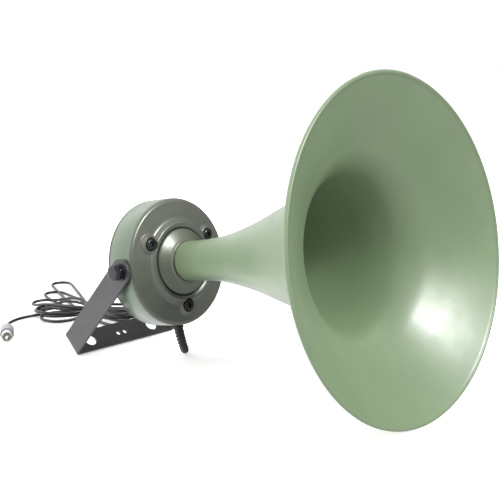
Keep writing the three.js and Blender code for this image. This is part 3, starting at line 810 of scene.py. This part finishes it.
def bolt(corner, start, end):
    """Hexagon head, its outer corners cut by a shallow cone, with a washer face and a plain shank."""
    flat = corner * 0.82

    def hexed(r, along, angle):
        if r < corner:
            return r, along
        reach = hex_reach(corner, angle)
        return reach, along if along < end else end - (reach - flat) * math.tan(math.radians(30))

    profile = [(0, end), (flat * 0.6, end), (flat, end), (corner, end), (corner, start + 0.4), (flat, start),
               (4, start), (4, 53), (3.6, 52.6), (0, 52.6)]
    return turned(profile, 72, hexed)


for side, hand in ((-1, "left"), (1, "right")):
    axle = HORN @ Matrix.Rotation(math.radians(-90 * side), 4, "Z")
    piece(f"bolt_{hand}", *bolt(7.5, 69.2, 74.5), axle, BLACK_STEEL, "horn", "black_steel",
          (f"pivot_bolt_{hand}",))
    piece(f"split_washer_{hand}", *spring_washer(67.1, 69), axle, BLACK_STEEL, "horn", "black_steel",
          (f"spring_washer_{hand}",))
    spun(f"washer_{hand}", ring_profile(4.4, 8, 65.3, 66.9, 0.3), BLACK_STEEL, "black_steel",
         (f"flat_washer_{hand}",), place=axle, segments=72)
    spun(f"pivot_washer_{hand}", ring_profile(4.6, 9.5, 61.5, 62.2, 0.2), RUBBER, "rubber_gasket",
         (f"friction_washer_{hand}",), body="bracket", place=axle, segments=72)


# ---- the bracket ----
def bracket_line():
    """Middle of the strip's thickness from one arm's tip to the other's: x, z, and half the width there."""
    half = STRIP_W / 2
    side, bottom, bend = ARM_OUTER_X - STRIP / 2, STRIP / 2 - ARM_LEN, BEND_R - STRIP / 2
    arm = []
    for k in range(1, 25):
        turn = math.radians(90 * k / 24)
        arm.append((side, half * math.cos(turn), half * math.sin(turn)))
    arm += [(side, -half, half), (side, bottom + bend + 8, half)]
    arm += [(x, z, half) for x, z in arc(side - bend, bottom + bend, bend, 0, -90, 10)]
    arm.append((side - bend - 8, bottom, half))
    return arm + [(-x, z, w) for x, z, w in reversed(arm)]


def hole_cutter(radius, middle, axis_turn):
    """A drill that eases both rims of its hole."""
    deep, ease, reach = STRIP / 2, 0.35, 6
    rim = radius + ease
    profile = [(0, -reach), (rim, -reach), (rim, -deep), (radius, ease - deep), (radius, deep - ease),
               (rim, deep), (rim, reach), (0, reach)]
    place = BRACKET @ Matrix.Translation(middle) @ axis_turn
    return piece("drill", *turned(profile, 48), place, BRACKET_PAINT, None, "bracket_steel")


def make_bracket():
    line = bracket_line()
    half = STRIP / 2
    rings = []
    for i, (x, z, w) in enumerate(line):
        a, b = line[max(i - 1, 0)], line[min(i + 1, len(line) - 1)]
        along = Vector((b[0] - a[0], b[1] - a[1])).normalized()
        outward = Vector((-along.y, along.x))
        section = rounded([(-w, -half), (w, -half), (w, half), (-w, half)], 0.45, 3, True)
        rings.append([(x + outward.x * v, u, z + outward.y * v) for u, v in section])
    tips = [[(x, 0, z)] for x, z, w in (line[0], line[-1])]
    verts, faces = rings_to_mesh([tips[0], *rings, tips[1]], False)
    obj = piece("bracket", verts, faces, BRACKET, BRACKET_PAINT, None, "bracket_steel")
    base = half - ARM_LEN
    stand = Matrix.Rotation(math.radians(90), 4, "X")
    lie = Matrix.Rotation(math.radians(90), 4, "Z")
    cutters = [hole_cutter(r, (x, 0, base), stand) for x, r in BASE_HOLES]
    cutters += [hole_cutter(PIVOT_HOLE_R, (side * (ARM_OUTER_X - half), 0, 0), lie) for side in (-1, 1)]
    drill(obj, cutters)
    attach(obj, "bracket")
    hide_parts("u_bracket")
    flat_faces_even(obj)


make_bracket()

# ---- carried-over nodes, inside the driver ----
INSIDE = {
    "throat_gasket": RUBBER, "throat_plate": ALLOY, "phase_plug": BLACK_PLASTIC, "diaphragm": PHENOLIC,
    "voice_coil": COPPER, "surround": CLOTH, "clamp_ring": ALLOY, "front_pole_plate": STEEL,
    "ring_magnet": FERRITE, "back_plate": STEEL, "terminal_board": BOARD, "lead_wire_1": RED_WIRE,
    "lead_wire_2": BLACK_PLASTIC, "pivot_insert_left": BRASS, "pivot_insert_right": BRASS,
}
for name, material in INSIDE.items():
    node = frame["nodes"][name]
    node.data.materials.clear()
    node.data.materials.append(material)
    shaded(node.data)


# ---- floor, light, background ----
def make_floor():
    bpy.ops.mesh.primitive_plane_add(size=24, location=(0, 0, -0.0002))
    floor = bpy.context.object
    floor.name = "floor"
    paper = surface("floor", (0.9, 0.9, 0.9, 1), (0.88, 0.88, 0.88, 1), 0.7, cloud=2, grain=200,
                    grain_depth=0.00001)
    paper.node_tree.nodes["Principled BSDF"].inputs["Emission Color"].default_value = (1, 1, 1, 1)
    paper.node_tree.nodes["Principled BSDF"].inputs["Emission Strength"].default_value = 0.3
    floor.data.materials.append(paper)
    floor.visible_diffuse = False
    floor.visible_glossy = False


def sun(name, towards, strength, spread):
    """Even light from a direction. towards points at the lamp; spread is its width in degrees."""
    lamp = bpy.data.lights.new(name, "SUN")
    lamp.energy = strength
    lamp.angle = math.radians(spread)
    obj = bpy.data.objects.new(name, lamp)
    obj.rotation_euler = Vector(towards).to_track_quat("Z", "Y").to_euler()
    bpy.context.scene.collection.objects.link(obj)


# Even light from all round, and light that grows towards an axis: the axis, the cosines at which it
# starts and is full, and its strength.
ROOM = 0.06
GLOWS = [
    ((-0.5, 0.85, 0.1), -0.2, 0.8, 1.9), ((0, 0, 1), 0.2, 0.9, 0.7), ((0, 0, -1), -0.2, 0.9, 0.75),
    ((-0.2, -1, 0), -0.2, 1, 0.3),
]


def make_world():
    """White behind everything. As light: bright behind, above and below, dark in front."""
    world = bpy.data.worlds.new("studio")
    world.use_nodes = True
    tree = world.node_tree
    background = tree.nodes["Background"]
    background.inputs["Color"].default_value = (1, 1, 1, 1)
    direction = tree.nodes.new("ShaderNodeTexCoord").outputs["Generated"]
    light = tree.nodes.new("ShaderNodeValue").outputs[0]
    light.default_value = ROOM
    for axis, low, high, strength in GLOWS:
        total = tree.nodes.new("ShaderNodeMath")
        tree.links.new(light, total.inputs[0])
        rise = rise_along(tree, direction, Vector(axis).normalized(), low, high, strength)
        tree.links.new(rise, total.inputs[1])
        light = total.outputs["Value"]
    seen = tree.nodes.new("ShaderNodeMix")
    tree.links.new(tree.nodes.new("ShaderNodeLightPath").outputs["Is Camera Ray"], seen.inputs[0])
    tree.links.new(light, seen.inputs[2])
    seen.inputs[3].default_value = 1.0
    tree.links.new(seen.outputs[0], background.inputs["Strength"])
    bpy.context.scene.world = world


make_floor()
make_world()
sun("key", (0.155, -0.727, 0.669), 2.9, 16)
sun("key_left", (-0.03, -0.84, 0.54), 0.8, 16)
sun("side", (-0.85, 0.35, 0.4), 0.4, 60)
bpy.context.scene.view_settings.view_transform = "Standard"
